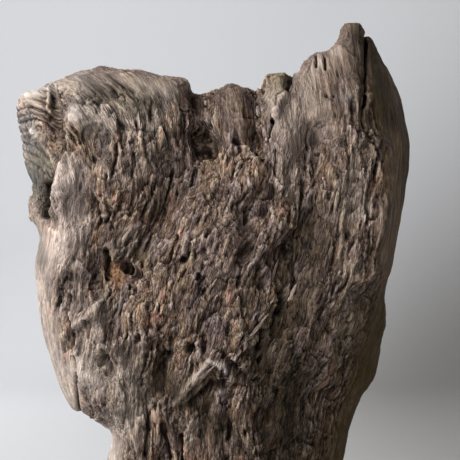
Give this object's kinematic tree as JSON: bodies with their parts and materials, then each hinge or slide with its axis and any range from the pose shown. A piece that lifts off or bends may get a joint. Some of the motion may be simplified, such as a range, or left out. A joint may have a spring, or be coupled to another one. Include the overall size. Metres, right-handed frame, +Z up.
{
  "type": "piece of driftwood",
  "caption": "Weathered slab of a tree trunk with a pointed prong, a broken stub, rot hollows and drying cracks, standing upright on a flat sawn foot.",
  "frame": {"origin": "centre of the sawn foot, on the surface that the wood stands on", "axes": "+Z up along the trunk, -Y towards the viewer of the weathered face, +X to the viewer's right"},
  "size_m": [0.2783, 0.133, 0.3795],
  "materials": {
    "weathered_wood": "rough, dry, grey-brown weathered grain"
  },
  "bodies": {
    "root": {"driftwood": "weathered_wood"}
  },
  "joints": []
}
